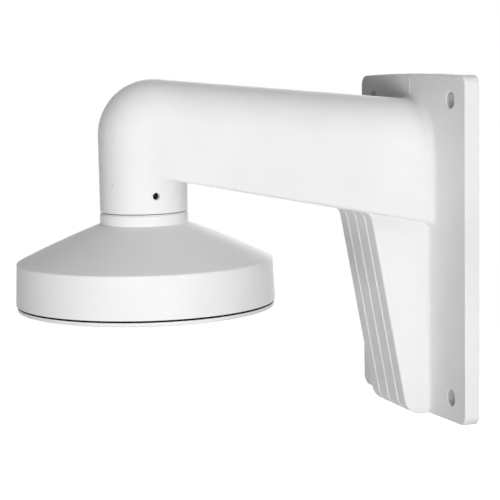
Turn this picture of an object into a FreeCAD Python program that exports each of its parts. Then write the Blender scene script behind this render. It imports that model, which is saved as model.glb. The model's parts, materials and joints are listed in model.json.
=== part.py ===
# Wall bracket for a pendant camera: a cast wall plate, arm and neck in one piece,
# a bell-shaped cap screwed into the neck, and the closing plate under the cap.
# Millimetres, Z up. The origin is on the wall plane (Y = 0), at the middle of the
# four wall holes. The arm reaches out along -Y and the cap hangs on a vertical axis.
import FreeCAD
import Part
import math
import os
import Sketcher

from FreeCAD import Vector

os.makedirs("parts", exist_ok=True)
doc = FreeCAD.newDocument("wall_bracket")

# Driving sizes
SIZES = [
    # wall plate
    ("plate_width", 131.0),
    ("plate_height", 193.0),
    ("plate_thickness", 8.6),
    ("plate_crown", 1.2),
    ("plate_corner_radius", 6.0),
    ("plate_edge_round", 1.0),
    ("plate_skin", 4.2),
    ("plate_rim", 4.5),
    ("plate_root_round", 3.0),
    ("mould_line_half_width", 1.5),
    ("mould_line_height", 0.3),
    ("wall_hole_inset_x", 16.8),
    ("wall_hole_inset_z", 14.3),
    ("wall_hole_radius", 4.4),
    ("wall_hole_chamfer", 0.6),
    ("wall_boss_radius", 8.5),
    ("back_rib_width", 2.0),
    ("recess_margin", 2.5),
    # arm
    ("arm_reach", 168.0),
    ("arm_root_half_width", 30.5),
    ("arm_root_top", 81.5),
    ("arm_root_bottom", 11.0),
    ("arm_tip_half_width", 23.6),
    ("arm_bottom_edge_round", 2.0),
    ("casting_wall", 4.0),
    # elbow and neck
    ("elbow_height", 66.6),
    ("elbow_offset", 6.3),
    ("elbow_lean", 5.29),
    ("elbow_underside", 22.3),
    ("neck_bottom", 26.2),
    ("neck_chamfer", 0.4),
    ("neck_gap", 0.4),
    ("neck_block_depth", 12.0),
    ("cut_overrun", 1.0),
    # gusset under the arm
    ("gusset_half_width", 22.4),
    ("gusset_top_depth", 43.4),
    ("gusset_top_level", 17.5),
    ("gusset_foot_depth", 24.4),
    ("gusset_foot_level", 84.0),
    ("gusset_bottom_setback", 0.2),
    ("gusset_foot_round", 10.0),
    ("gusset_throat_round", 6.0),
    ("gusset_edge_round", 1.2),
    ("gusset_rib_spacing", 12.2),
    ("gusset_rib_width", 1.8),
    ("gusset_rib_height", 0.5),
    # pendant cap
    ("cap_radius", 70.0),
    ("cap_draft", 1.0),
    ("cap_shoulder_level", -0.2),
    ("cap_shoulder_round", 1.2),
    ("cap_bottom", -22.4),
    ("cap_wall", 3.0),
    ("cap_dome_rise", 0.6),
    ("collar_height", 6.0),
    ("collar_radius", 23.8),
    ("collar_chamfer", 0.9),
    ("spigot_length", 13.0),
    ("spigot_wall", 3.4),
    ("thread_clearance", 0.1),
    ("boss_inset", 13.0),
    ("boss_radius", 4.6),
    ("boss_hole_radius", 1.9),
    ("boss_hole_depth", 10.0),
    ("boss_length", 25.2),
    ("boss_start_angle", 30.0),
    ("boss_count", 3),
    # seals
    ("neck_ring_radius", 21.6),
    ("neck_ring_thickness", 1.6),
    ("neck_ring_squeeze", 0.1),
    ("gasket_thickness", 1.1),
    ("gasket_width", 3.0),
    ("gasket_setback", 0.6),
    # closing plate
    ("disc_setback", 0.8),
    ("disc_thickness", 2.0),
    ("disc_edge_round", 0.5),
    ("cable_hole_radius", 14.0),
    ("camera_circle_radius", 42.0),
    ("camera_hole_radius", 1.8),
    ("camera_hole_count", 3),
    ("camera_start_angle", 90.0),
    # fasteners
    ("screw_radius", 1.9),
    ("screw_length", 10.0),
    ("screw_head_radius", 3.7),
    ("screw_head_height", 1.9),
    ("screw_clearance", 0.25),
    ("screw_socket_radius", 1.2),
    ("screw_socket_depth", 1.2),
    ("lock_screw_radius", 1.8),
    ("lock_screw_length", 2.6),
    ("lock_screw_level", 35.5),
    ("lock_dimple_depth", 1.6),
    ("lock_socket_radius", 1.0),
    ("lock_socket_depth", 1.6),
    ("lock_hole_chamfer", 0.3),
]

sheet = doc.addObject("Spreadsheet::Sheet", "Sizes")
for row, (alias, number) in enumerate(SIZES, start=1):
    sheet.set("A%d" % row, alias)
    sheet.set("B%d" % row, str(number))
    sheet.setAlias("B%d" % row, alias)
doc.recompute()


# A size keeps its number and the formula that binds a feature to the sheet
class Size:
    def __init__(self, number, formula):
        self.number = float(number)
        self.formula = formula

    def __add__(self, other):
        o = size(other)
        return Size(self.number + o.number, "(%s + %s)" % (self.formula, o.formula))

    def __radd__(self, other):
        return size(other) + self

    def __sub__(self, other):
        o = size(other)
        return Size(self.number - o.number, "(%s - %s)" % (self.formula, o.formula))

    def __rsub__(self, other):
        return size(other) - self

    def __mul__(self, other):
        o = size(other)
        return Size(self.number * o.number, "(%s * %s)" % (self.formula, o.formula))

    def __rmul__(self, other):
        return size(other) * self

    def __truediv__(self, other):
        o = size(other)
        return Size(self.number / o.number, "(%s / %s)" % (self.formula, o.formula))

    def __rtruediv__(self, other):
        return size(other) / self

    def __neg__(self):
        return Size(-self.number, "(-1 * %s)" % self.formula)


def size(value):
    if isinstance(value, Size):
        return value
    return Size(value, "(%.6f)" % value if value < 0 else "%.6f" % value)


def root(value):
    return Size(math.sqrt(value.number), "sqrt(%s)" % value.formula)


def sine(value):
    return Size(math.sin(math.radians(value.number)), "sin(%s)" % value.formula)


def cosine(value):
    return Size(math.cos(math.radians(value.number)), "cos(%s)" % value.formula)


def v_count(value):
    return int(round(value.number))


class Named:
    pass


v = Named()
for alias, number in SIZES:
    setattr(v, alias, Size(number, "Sizes.%s" % alias))


def bind(target, path, value):
    target.setExpression(path, size(value).formula)


def plane_of(body, role):
    for feature in body.Origin.OriginFeatures:
        if feature.Role == role:
            return feature


def new_body(name):
    body = doc.addObject("PartDesign::Body", name)
    body.Label = name
    return body


def new_sketch(body, name, role, base=(0, 0, 0), lean=None):
    sketch = body.newObject("Sketcher::SketchObject", name)
    sketch.AttachmentSupport = [(plane_of(body, role), "")]
    sketch.MapMode = "FlatFace"
    x, y, z = [size(c) for c in base]
    turn = FreeCAD.Rotation(Vector(-1, 0, 0), lean.number if lean is not None else 0)
    sketch.AttachmentOffset = FreeCAD.Placement(Vector(x.number, y.number, z.number), turn)
    for axis, value in (("x", x), ("y", y), ("z", z)):
        if not value.formula.replace(".", "").isdigit():
            bind(sketch, "AttachmentOffset.Base.%s" % axis, value)
    if lean is not None:
        bind(sketch, "AttachmentOffset.Rotation.Angle", lean)
    return sketch


def place_point(sketch, geo, pos, x, y):
    x, y = size(x), size(y)
    if x.number == 0:
        sketch.addConstraint(Sketcher.Constraint("PointOnObject", geo, pos, -2))
    else:
        index = sketch.addConstraint(Sketcher.Constraint("DistanceX", -1, 1, geo, pos, x.number))
        bind(sketch, "Constraints[%d]" % index, x)
    if y.number == 0:
        sketch.addConstraint(Sketcher.Constraint("PointOnObject", geo, pos, -1))
    else:
        index = sketch.addConstraint(Sketcher.Constraint("DistanceY", -1, 1, geo, pos, y.number))
        bind(sketch, "Constraints[%d]" % index, y)


# A closed outline: each point is (x, y) or (x, y, (centre x, centre y, turns left)),
# where the third item makes the edge to the next point an arc
def add_outline(sketch, points):
    count = len(points)
    items = []
    for i in range(count):
        here, after = points[i], points[(i + 1) % count]
        p = Vector(size(here[0]).number, size(here[1]).number, 0)
        q = Vector(size(after[0]).number, size(after[1]).number, 0)
        if len(here) == 2:
            geo = sketch.addGeometry(Part.LineSegment(p, q), False)
            items.append((geo, 1, 2, None))
            continue
        cx, cy, left = here[2]
        cx, cy = size(cx), size(cy)
        centre = Vector(cx.number, cy.number, 0)
        start = math.atan2(p.y - centre.y, p.x - centre.x)
        end = math.atan2(q.y - centre.y, q.x - centre.x)
        if not left:
            start, end = end, start
        if end <= start:
            end += 2 * math.pi
        circle = Part.Circle(centre, Vector(0, 0, 1), (p - centre).Length)
        geo = sketch.addGeometry(Part.ArcOfCircle(circle, start, end), False)
        across = abs(q.x - p.x) > abs(q.y - p.y)
        items.append((geo, 1 if left else 2, 2 if left else 1, (across, cx, cy)))
    for i in range(count):
        geo, first, last, arc = items[i]
        nxt = items[(i + 1) % count]
        sketch.addConstraint(Sketcher.Constraint("Coincident", geo, last, nxt[0], nxt[1]))
    for i in range(count):
        geo, first, last, arc = items[i]
        place_point(sketch, geo, first, points[i][0], points[i][1])
        if arc is not None:
            across, cx, cy = arc
            value = cy if across else cx
            kind = "DistanceY" if across else "DistanceX"
            if value.number == 0:
                line = -1 if across else -2
                sketch.addConstraint(Sketcher.Constraint("PointOnObject", geo, 3, line))
            else:
                index = sketch.addConstraint(
                    Sketcher.Constraint(kind, -1, 1, geo, 3, value.number))
                bind(sketch, "Constraints[%d]" % index, value)
    return items


def add_circle(sketch, x, y, radius):
    x, y, radius = size(x), size(y), size(radius)
    circle = Part.Circle(Vector(x.number, y.number, 0), Vector(0, 0, 1), radius.number)
    geo = sketch.addGeometry(circle, False)
    place_point(sketch, geo, 3, x, y)
    index = sketch.addConstraint(Sketcher.Constraint("Radius", geo, radius.number))
    bind(sketch, "Constraints[%d]" % index, radius)
    return geo


def pad(body, sketch, length, kind="PartDesign::Pad", middle=False, back=False, name=None):
    feature = body.newObject(kind, name or sketch.Name + "_pad")
    feature.Profile = sketch
    feature.Length = size(length).number
    bind(feature, "Length", length)
    if middle:
        feature.Midplane = True
    feature.Reversed = back
    return feature


def pocket(body, sketch, length, middle=False, back=False, name=None):
    return pad(body, sketch, length, "PartDesign::Pocket", middle, back,
               name or sketch.Name + "_pocket")


def turn(body, sketch, axis, angle=360, kind="PartDesign::Revolution", back=False, name=None):
    feature = body.newObject(kind, name or sketch.Name + "_turn")
    feature.Profile = sketch
    feature.ReferenceAxis = (sketch, [axis])
    feature.Angle = size(angle).number
    if isinstance(angle, Size):
        bind(feature, "Angle", angle)
    feature.Reversed = back
    return feature


def loft(body, first, second, kind="PartDesign::AdditiveLoft", name=None):
    feature = body.newObject(kind, name or first.Name + "_loft")
    feature.Profile = first
    feature.Sections = [second]
    feature.Ruled = True
    return feature


def edges_where(feature, test):
    return ["Edge%d" % (i + 1) for i, e in enumerate(feature.Shape.Edges) if test(e)]


def round_edges(body, feature, test, radius, name, kind="PartDesign::Fillet"):
    doc.recompute()
    names = edges_where(feature, test)
    rounded = body.newObject(kind, name)
    rounded.Base = (feature, names)
    prop = "Radius" if kind.endswith("Fillet") else "Size"
    setattr(rounded, prop, size(radius).number)
    bind(rounded, prop, radius)
    doc.recompute()
    print(name, "edges", len(names), "volume", round(rounded.Shape.Volume, 1))
    return rounded


# The casting, outer form: plate, arm, elbow and neck
outer = new_body("outer_form")
half_w = v.plate_width / 2
half_h = v.plate_height / 2
hole_x = half_w - v.wall_hole_inset_x
hole_z = half_h - v.wall_hole_inset_z
gusset_bottom = half_h - v.gusset_bottom_setback
crown_radius = (half_w * half_w + v.plate_crown * v.plate_crown) / (2 * v.plate_crown)
corner_z = half_h - v.plate_crown

plate_sketch = new_sketch(outer, "plate_sketch", "XZ_Plane")
add_outline(plate_sketch, [
    (half_w, -corner_z),
    (half_w, corner_z, (0, half_h - crown_radius, True)),
    (-half_w, corner_z),
    (-half_w, -corner_z, (0, crown_radius - half_h, True)),
])
plate = pad(outer, plate_sketch, v.plate_thickness, name="plate")
front_y = -v.plate_thickness.number


def is_corner(e):
    box = e.BoundBox
    return box.YLength > 1 and box.XLength < 0.01 and box.ZLength < 0.01


def on_front(e):
    box = e.BoundBox
    return abs(box.YMin - front_y) < 0.01 and box.YLength < 0.01


def is_hole_rim(e):
    radius = getattr(e.Curve, "Radius", 0)
    return on_front(e) and abs(radius - v.wall_hole_radius.number) < 0.01


plate_corners = round_edges(outer, plate, is_corner, v.plate_corner_radius, "plate_corners")
plate_edge = round_edges(outer, plate_corners, on_front, v.plate_edge_round, "plate_edge")

# Wall holes, with a small chamfer on the face
holes_sketch = new_sketch(outer, "wall_holes_sketch", "XZ_Plane")
for side_x in (-1, 1):
    for side_z in (-1, 1):
        add_circle(holes_sketch, side_x * hole_x,
                   side_z * hole_z, v.wall_hole_radius)
wall_holes = pocket(outer, holes_sketch, v.plate_thickness, back=True, name="wall_holes")
wall_hole_edges = round_edges(outer, wall_holes, is_hole_rim, v.wall_hole_chamfer,
                              "wall_hole_edges", "PartDesign::Chamfer")


# Arch-shaped section: half round on top, upright sides and a flat bottom
def arch(sketch, half_width, centre, bottom):
    add_outline(sketch, [
        (half_width, bottom),
        (half_width, centre, (0, centre, True)),
        (-half_width, centre),
        (-half_width, bottom),
    ])


# Arm: a ruled loft of two arches, from the wall plane to the plane where the bend starts
root_centre = v.arm_root_top - v.arm_root_half_width
pivot_y = v.elbow_offset - v.arm_reach


def add_arm(body, inset, prefix, behind):
    first = new_sketch(body, prefix + "_root_sketch", "XZ_Plane", (0, 0, -behind))
    arch(first, v.arm_root_half_width - inset, root_centre, v.arm_root_bottom + inset)
    second = new_sketch(body, prefix + "_tip_sketch", "XZ_Plane",
                        (0, v.elbow_height, -pivot_y), v.elbow_lean)
    arch(second, v.arm_tip_half_width - inset, v.elbow_offset, inset - v.elbow_underside)
    return loft(body, first, second, name=prefix)


# Elbow: the same arch turned all round the cross axis that the bend has. The column of
# the neck runs up into it, and a flat-sided block carries the neck into the arm.
def add_bend(bodies, inset, prefix, bottom, chamfer):
    reach = v.arm_tip_half_width - inset
    body = bodies[0]
    sketch = new_sketch(body, prefix + "_bend_sketch", "XY_Plane", (0, pivot_y, v.elbow_height))
    add_outline(sketch, [
        (-reach, 0),
        (-reach, -v.elbow_offset, (0, -v.elbow_offset, True)),
        (reach, -v.elbow_offset),
        (reach, 0),
    ])
    turn(body, sketch, "H_Axis", name=prefix + "_bend")
    body = bodies[1]
    column = new_sketch(body, prefix + "_neck_sketch", "XZ_Plane", (0, 0, v.arm_reach))
    foot = [(0, bottom), (reach, bottom)]
    if chamfer is not None:
        foot = [(0, bottom), (reach - chamfer, bottom), (reach, bottom + chamfer)]
    add_outline(column, foot + [(reach, v.elbow_height), (0, v.elbow_height)])
    turn(body, column, "V_Axis", name=prefix + "_neck")
    body = bodies[2]
    block = new_sketch(body, prefix + "_block_sketch", "XY_Plane",
                       (0, -v.arm_reach, v.elbow_height - v.elbow_underside + inset))
    add_outline(block, [
        (-reach, 0),
        (reach, 0),
        (reach, v.neck_block_depth),
        (-reach, v.neck_block_depth),
    ])
    return pad(body, block, v.elbow_underside - inset, name=prefix + "_block")


arm = add_arm(outer, 0 * v.casting_wall, "arm", 0)


def is_arm_root(e):
    box = e.BoundBox
    return (on_front(e) and box.XMax < v.arm_root_half_width.number + 0.5
            and box.XMin > -v.arm_root_half_width.number - 0.5)


def is_arm_underside(e):
    box = e.BoundBox
    return box.YLength > 100 and box.ZMax < v.elbow_height.number - 10


arm_edges = round_edges(outer, arm, is_arm_underside, v.arm_bottom_edge_round, "arm_edges")
arm_root = round_edges(outer, arm_edges, is_arm_root, v.plate_root_round, "arm_root")
add_bend((outer, outer, outer), 0 * v.casting_wall, "outer", v.neck_bottom, v.neck_chamfer)

# Gusset: a wedge under the arm, with a rounded foot and a round throat
gusset = new_body("gusset_form")
drop = v.gusset_top_level + v.gusset_foot_level
slope = (v.gusset_top_depth - v.gusset_foot_depth) / drop
arm_drop = v.elbow_height - v.elbow_underside - v.arm_root_bottom
arm_slope = arm_drop / v.arm_reach


def add_wedge(body, prefix, half_width, proud, middle_x):
    top = v.arm_root_bottom + arm_slope * v.gusset_top_depth
    throat = v.gusset_top_depth + slope * (top - v.gusset_top_level) + proud
    foot = v.gusset_foot_depth - slope * (gusset_bottom - v.gusset_foot_level) + proud
    far = throat + 2 * v.gusset_throat_round
    sketch = new_sketch(body, prefix + "_sketch", "YZ_Plane", (0, 0, middle_x))
    add_outline(sketch, [
        (-v.plate_skin / 2, -gusset_bottom),
        (-v.plate_skin / 2, top + v.casting_wall / 2),
        (-far, top + v.casting_wall / 2 + arm_slope * far),
        (-far, v.arm_root_bottom + arm_slope * far),
        (-throat, v.arm_root_bottom + arm_slope * throat),
        (-foot, -gusset_bottom),
    ])
    wedge = pad(body, sketch, 2 * half_width, middle=True, name=prefix)
    foot_y = -foot.number
    throat_y = -throat.number

    def is_foot(e):
        box = e.BoundBox
        return box.XLength > 1 and abs(box.YMin - foot_y) < 0.05 and box.ZMax < -50

    def is_throat(e):
        box = e.BoundBox
        return box.XLength > 1 and abs(box.YMin - throat_y) < 0.05 and box.ZMax > 0

    foot_round = round_edges(body, wedge, is_foot, v.gusset_foot_round + proud, prefix + "_foot")
    return round_edges(body, foot_round, is_throat, v.gusset_throat_round - proud,
                       prefix + "_throat")


wedge = add_wedge(gusset, "wedge", v.gusset_half_width, 0 * v.gusset_rib_height, 0)


def is_wedge_side(e):
    box = e.BoundBox
    side = abs(abs(box.XMin) - v.gusset_half_width.number) < 0.01 and box.XLength < 0.01
    return side and box.YMax < -v.plate_thickness.number


round_edges(gusset, wedge, is_wedge_side, v.gusset_edge_round, "wedge_edges")

# Three raised ribs down the front of the gusset
rib_bodies = []
for number, step in enumerate((-1, 0, 1), start=1):
    rib = new_body("gusset_rib_%d" % number)
    add_wedge(rib, "rib_%d" % number, v.gusset_rib_width / 2, v.gusset_rib_height,
              step * v.gusset_rib_spacing)
    rib_bodies.append(rib)

# Round strips where the gusset's sides meet the plate
strip_bodies = []
for side, word in ((-1, "left"), (1, "right")):
    strips = new_body("gusset_root_" + word)
    strip = new_sketch(strips, "strip_sketch_" + word, "XY_Plane",
                       (0, 0, 2 * v.plate_edge_round - corner_z))
    inner_x = side * (v.gusset_half_width - v.casting_wall / 2)
    edge_x = side * v.gusset_half_width
    outer_x = side * (v.gusset_half_width + v.plate_root_round)
    back = v.plate_skin / 2 - v.plate_thickness
    crest = 0 - v.plate_thickness - v.plate_root_round
    add_outline(strip, [
        (inner_x, back),
        (inner_x, crest),
        (edge_x, crest, (outer_x, crest, side < 0)),
        (outer_x, -v.plate_thickness),
        (outer_x, back),
    ])
    pad(strips, strip, corner_z + v.arm_root_bottom - 2 * v.plate_edge_round,
        name="strip_" + word)
    strip_bodies.append(strips)

# Faint raised line that the mould leaves on the plate, from the arm up to the top edge
mould_line = new_body("plate_mould_line")
line_sketch = new_sketch(mould_line, "mould_line_sketch", "XY_Plane",
                         (0, 0, v.arm_root_top - v.plate_root_round))
add_outline(line_sketch, [
    (-v.mould_line_half_width, v.plate_skin / 2 - v.plate_thickness),
    (-v.mould_line_half_width, -v.plate_thickness),
    (0, -v.plate_thickness - v.mould_line_height),
    (v.mould_line_half_width, -v.plate_thickness),
    (v.mould_line_half_width, v.plate_skin / 2 - v.plate_thickness),
])
pad(mould_line, line_sketch, half_h - v.arm_root_top + v.plate_root_round
    - 2 * v.plate_edge_round, name="mould_line")

# Inner form: the cable way from the wall through the arm, elbow and neck
passage =[new_body("passage_%s_form" % word) for word in ("arm", "bend", "neck", "block")]
add_arm(passage[0], v.casting_wall, "passage", v.cut_overrun)
add_bend(passage[1:], v.casting_wall, "inner", v.neck_bottom - v.cut_overrun, None)

# Inner form: the hollow behind the gusset
hollow = new_body("gusset_hollow_form")
hollow_sketch = new_sketch(hollow, "gusset_hollow_sketch", "YZ_Plane")
hollow_top = v.arm_root_bottom - v.casting_wall / 2
hollow_low = gusset_bottom - v.casting_wall
top_front = v.gusset_top_depth - slope * (v.gusset_top_level - hollow_top) - v.casting_wall
low_front = v.gusset_foot_depth - slope * (hollow_low - v.gusset_foot_level) - v.casting_wall
add_outline(hollow_sketch, [
    (v.cut_overrun, -hollow_low),
    (v.cut_overrun, hollow_top),
    (-top_front, hollow_top),
    (-low_front, -hollow_low),
])
hollow_pad = pad(hollow, hollow_sketch, 2 * (v.gusset_half_width - v.casting_wall),
                 middle=True, name="gusset_hollow")


def is_hollow_foot(e):
    box = e.BoundBox
    return box.XLength > 1 and box.YMax < -5 and box.ZMax < -50


round_edges(hollow, hollow_pad, is_hollow_foot, v.gusset_foot_round - v.casting_wall,
            "gusset_hollow_foot")


# Part primitives for simple cuts, each bound to the sheet
def box(name, x, y, z, length, width, height):
    item = doc.addObject("Part::Box", name)
    for prop, value in (("Length", length), ("Width", width), ("Height", height)):
        setattr(item, prop, size(value).number)
        bind(item, prop, value)
    place(item, x, y, z)
    return item


def cylinder(name, x, y, z, radius, height, axis="z"):
    item = doc.addObject("Part::Cylinder", name)
    for prop, value in (("Radius", radius), ("Height", height)):
        setattr(item, prop, size(value).number)
        bind(item, prop, value)
    place(item, x, y, z, axis)
    return item


def cone(name, x, y, z, low_radius, high_radius, height, axis="z"):
    item = doc.addObject("Part::Cone", name)
    for prop, value in (("Radius1", low_radius), ("Radius2", high_radius), ("Height", height)):
        setattr(item, prop, size(value).number)
        bind(item, prop, value)
    place(item, x, y, z, axis)
    return item


def place(item, x, y, z, axis="z"):
    turns = {
        "z": FreeCAD.Rotation(),
        "x": FreeCAD.Rotation(Vector(0, 1, 0), 90),
        "y": FreeCAD.Rotation(Vector(1, 0, 0), 90),
    }
    x, y, z = size(x), size(y), size(z)
    item.Placement = FreeCAD.Placement(Vector(x.number, y.number, z.number), turns[axis])
    for letter, value in (("x", x), ("y", y), ("z", z)):
        if not value.formula.replace(".", "").isdigit():
            bind(item, "Placement.Base.%s" % letter, value)


def joined(name, items):
    item = doc.addObject("Part::MultiFuse", name)
    item.Shapes = items
    item.Refine = True
    return item


def cut(name, base, tool):
    item = doc.addObject("Part::Cut", name)
    item.Base = base
    item.Tool = tool
    item.Refine = True
    return item


# Inner form: recesses on the back of each side of the plate, with cross ribs left
# standing between them and a boss left round each wall hole
rib_gaps = 3
field_in = v.arm_root_half_width + v.recess_margin
field_out = half_w - v.plate_rim
field_top = corner_z - v.plate_rim
field_height = (2 * field_top - rib_gaps * v.back_rib_width) / (rib_gaps + 1)
recess_depth = v.plate_thickness - v.plate_skin
fields = []
bosses = []
for side, word in ((-1, "left"), (1, "right")):
    for field in range(rib_gaps + 1):
        low = field * (field_height + v.back_rib_width) - field_top
        start = field_in if side > 0 else -field_out
        fields.append(box("recess_%s_%d" % (word, field + 1), start, -recess_depth, low,
                          field_out - field_in, recess_depth + v.cut_overrun, field_height))
    for side_z, row_word in ((-1, "low"), (1, "top")):
        bosses.append(cylinder("boss_form_%s_%s" % (word, row_word),
                               side * hole_x, v.cut_overrun,
                               side_z * hole_z,
                               v.wall_boss_radius, v.plate_thickness + v.cut_overrun, "y"))
recesses = cut("back_recess_form", joined("recess_fields", fields),
               joined("boss_forms", bosses))

# Threaded hole for the lock screw, on the +X side of the neck
lock_radius = v.lock_screw_radius + v.thread_clearance
lock_hole = cylinder("lock_hole_form", 0, -v.arm_reach, v.lock_screw_level,
                     lock_radius, v.arm_tip_half_width + v.cut_overrun, "x")
lock_flare = cone("lock_flare_form", v.arm_tip_half_width - v.lock_hole_chamfer, -v.arm_reach,
                  v.lock_screw_level, lock_radius,
                  lock_radius + v.lock_hole_chamfer + v.cut_overrun,
                  v.lock_hole_chamfer + v.cut_overrun, "x")

casting_outer = joined("casting_outer",
                       [outer, gusset, mould_line] + rib_bodies + strip_bodies)
casting = casting_outer
for name, tool in (("casting_with_arm_way", passage[0]), ("casting_with_neck_way", passage[2]),
                   ("casting_with_block_way", passage[3]), ("casting_with_bend_way", passage[1]),
                   ("casting_with_hollow", hollow), ("casting_with_recesses", recesses),
                   ("casting_with_lock_hole", lock_hole), ("bracket_casting", lock_flare)):
    casting = cut(name, casting, tool)
doc.recompute()
print("casting", casting.Shape.isValid(), len(casting.Shape.Solids), round(casting.Shape.Volume))

# Pendant cap: a bell turned about the hanging axis, with a collar under the neck and a
# threaded spigot that screws up into the neck
axis_y = -v.arm_reach


def on_axis(body, name):
    return new_sketch(body, name, "XZ_Plane", (0, 0, v.arm_reach))


# Centre of the shallow arc through two points of the dome, from its rise over the chord
def dome_centre(r1, z1, r2, z2, rise):
    run = r2 - r1
    fall = z1 - z2
    chord = root(run * run + fall * fall)
    radius = (chord * chord / 4 + rise * rise) / (2 * rise)
    back_off = (radius - rise) / chord
    return ((r1 + r2) / 2 - fall * back_off, (z1 + z2) / 2 - run * back_off)


cap = new_body("pendant_cap")
cap_sketch = on_axis(cap, "cap_sketch")
shoulder_radius = v.cap_radius - v.cap_draft
boss_circle = v.cap_radius - v.boss_inset
spigot_radius = v.arm_tip_half_width - v.casting_wall - v.thread_clearance
spigot_bore = spigot_radius - v.spigot_wall
collar_top = v.neck_bottom - v.neck_gap
collar_foot = collar_top - v.collar_height
inner_foot = collar_foot - v.cap_wall
inner_edge = shoulder_radius - v.cap_wall
inner_level = v.cap_shoulder_level - v.cap_wall
outer_arc = dome_centre(v.collar_radius, collar_foot, shoulder_radius,
                        v.cap_shoulder_level, v.cap_dome_rise)
inner_arc = dome_centre(v.collar_radius, inner_foot, inner_edge, inner_level, v.cap_dome_rise)
add_outline(cap_sketch, [
    (spigot_bore, v.neck_bottom + v.spigot_length),
    (spigot_bore, inner_foot),
    (v.collar_radius, inner_foot, (inner_arc[0], inner_arc[1], False)),
    (inner_edge, inner_level),
    (v.cap_radius - v.cap_wall, v.cap_bottom),
    (v.cap_radius, v.cap_bottom),
    (shoulder_radius, v.cap_shoulder_level, (outer_arc[0], outer_arc[1], True)),
    (v.collar_radius, collar_foot),
    (v.collar_radius, collar_top - v.collar_chamfer),
    (v.collar_radius - v.collar_chamfer, collar_top),
    (spigot_radius, collar_top),
    (spigot_radius, v.neck_bottom + v.spigot_length),
])
cap_turn = turn(cap, cap_sketch, "V_Axis", name="cap_bell")


def is_shoulder(e):
    box_ = e.BoundBox
    return abs(box_.ZMax - v.cap_shoulder_level.number) < 0.01 and box_.ZLength < 0.01


cap_shoulder = round_edges(cap, cap_turn, is_shoulder, v.cap_shoulder_round, "cap_shoulder")

# Screw bosses under the dome, and their blind holes
def ring_of_circles(sketch, circle_radius, radius, count, start):
    for i in range(v_count(count)):
        turn_by = start + i * 360 / count
        add_circle(sketch, circle_radius * cosine(turn_by), circle_radius * sine(turn_by), radius)


boss_sketch = new_sketch(cap, "boss_sketch", "XY_Plane", (0, axis_y, v.cap_bottom))
ring_of_circles(boss_sketch, boss_circle, v.boss_radius, v.boss_count, v.boss_start_angle)
cap_bosses = pad(cap, boss_sketch, v.boss_length, name="cap_bosses")
boss_holes_sketch = new_sketch(cap, "boss_holes_sketch", "XY_Plane", (0, axis_y, v.cap_bottom))
ring_of_circles(boss_holes_sketch, boss_circle, v.boss_hole_radius, v.boss_count,
                v.boss_start_angle)
cap_holes = pocket(cap, boss_holes_sketch, v.boss_hole_depth, back=True, name="cap_boss_holes")
doc.recompute()
print("cap", cap.Shape.isValid(), len(cap.Shape.Solids), round(cap.Shape.Volume))

# Sealing ring between the neck and the cap's collar, in a gland in the collar's top
ring_half = v.neck_ring_thickness / 2
gland_depth = v.neck_ring_thickness - v.neck_ring_squeeze
gland_sketch = on_axis(cap, "gland_sketch")
add_outline(gland_sketch, [
    (v.neck_ring_radius - ring_half - v.thread_clearance, v.neck_bottom - gland_depth),
    (v.neck_ring_radius + ring_half + v.thread_clearance, v.neck_bottom - gland_depth),
    (v.neck_ring_radius + ring_half + v.thread_clearance, v.neck_bottom + v.cut_overrun),
    (v.neck_ring_radius - ring_half - v.thread_clearance, v.neck_bottom + v.cut_overrun),
])
turn(cap, gland_sketch, "V_Axis", kind="PartDesign::Groove", name="ring_gland")

# Dimple in the spigot, which the lock screw's point bears in
lock_seat = spigot_radius - v.lock_dimple_depth
lock_dimple = cylinder("lock_dimple_form", lock_seat, axis_y, v.lock_screw_level, lock_radius,
                       v.lock_dimple_depth + v.cut_overrun, "x")
cap_with_dimple = cut("cap_with_dimple", cap, lock_dimple)
doc.recompute()
print("cap with gland and dimple", cap_with_dimple.Shape.isValid(),
      len(cap_with_dimple.Shape.Solids), round(cap_with_dimple.Shape.Volume))

neck_ring = new_body("neck_seal_ring")
ring_sketch = on_axis(neck_ring, "ring_sketch")
add_outline(ring_sketch, [
    (v.neck_ring_radius - ring_half, v.neck_bottom - gland_depth),
    (v.neck_ring_radius + ring_half, v.neck_bottom - gland_depth),
    (v.neck_ring_radius + ring_half, v.neck_bottom),
    (v.neck_ring_radius - ring_half, v.neck_bottom),
])
turn(neck_ring, ring_sketch, "V_Axis", name="seal_ring")

# Gasket between the rim of the cap and the closing plate
gasket = new_body("cap_gasket")
gasket_sketch = on_axis(gasket, "gasket_sketch")
gasket_outer = v.cap_radius - v.gasket_setback
gasket_bottom = v.cap_bottom - v.gasket_thickness
add_outline(gasket_sketch, [
    (gasket_outer - v.gasket_width, gasket_bottom),
    (gasket_outer, gasket_bottom),
    (gasket_outer, v.cap_bottom),
    (gasket_outer - v.gasket_width, v.cap_bottom),
])
turn(gasket, gasket_sketch, "V_Axis", name="gasket_ring")

# Closing plate: a shallow dish whose raised pads meet the cap's bosses
disc = new_body("closing_plate")
disc_sketch = on_axis(disc, "disc_sketch")
disc_bottom = gasket_bottom - v.disc_thickness
disc_radius = v.cap_radius - v.disc_setback
add_outline(disc_sketch, [
    (v.cable_hole_radius, disc_bottom),
    (disc_radius, disc_bottom),
    (disc_radius, gasket_bottom),
    (v.cable_hole_radius, gasket_bottom),
])
disc_turn = turn(disc, disc_sketch, "V_Axis", name="disc")


def is_disc_rim(e):
    box_ = e.BoundBox
    return box_.XLength > 2 * disc_radius.number - 1 and abs(box_.ZMax - disc_bottom.number) < 0.01


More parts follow.
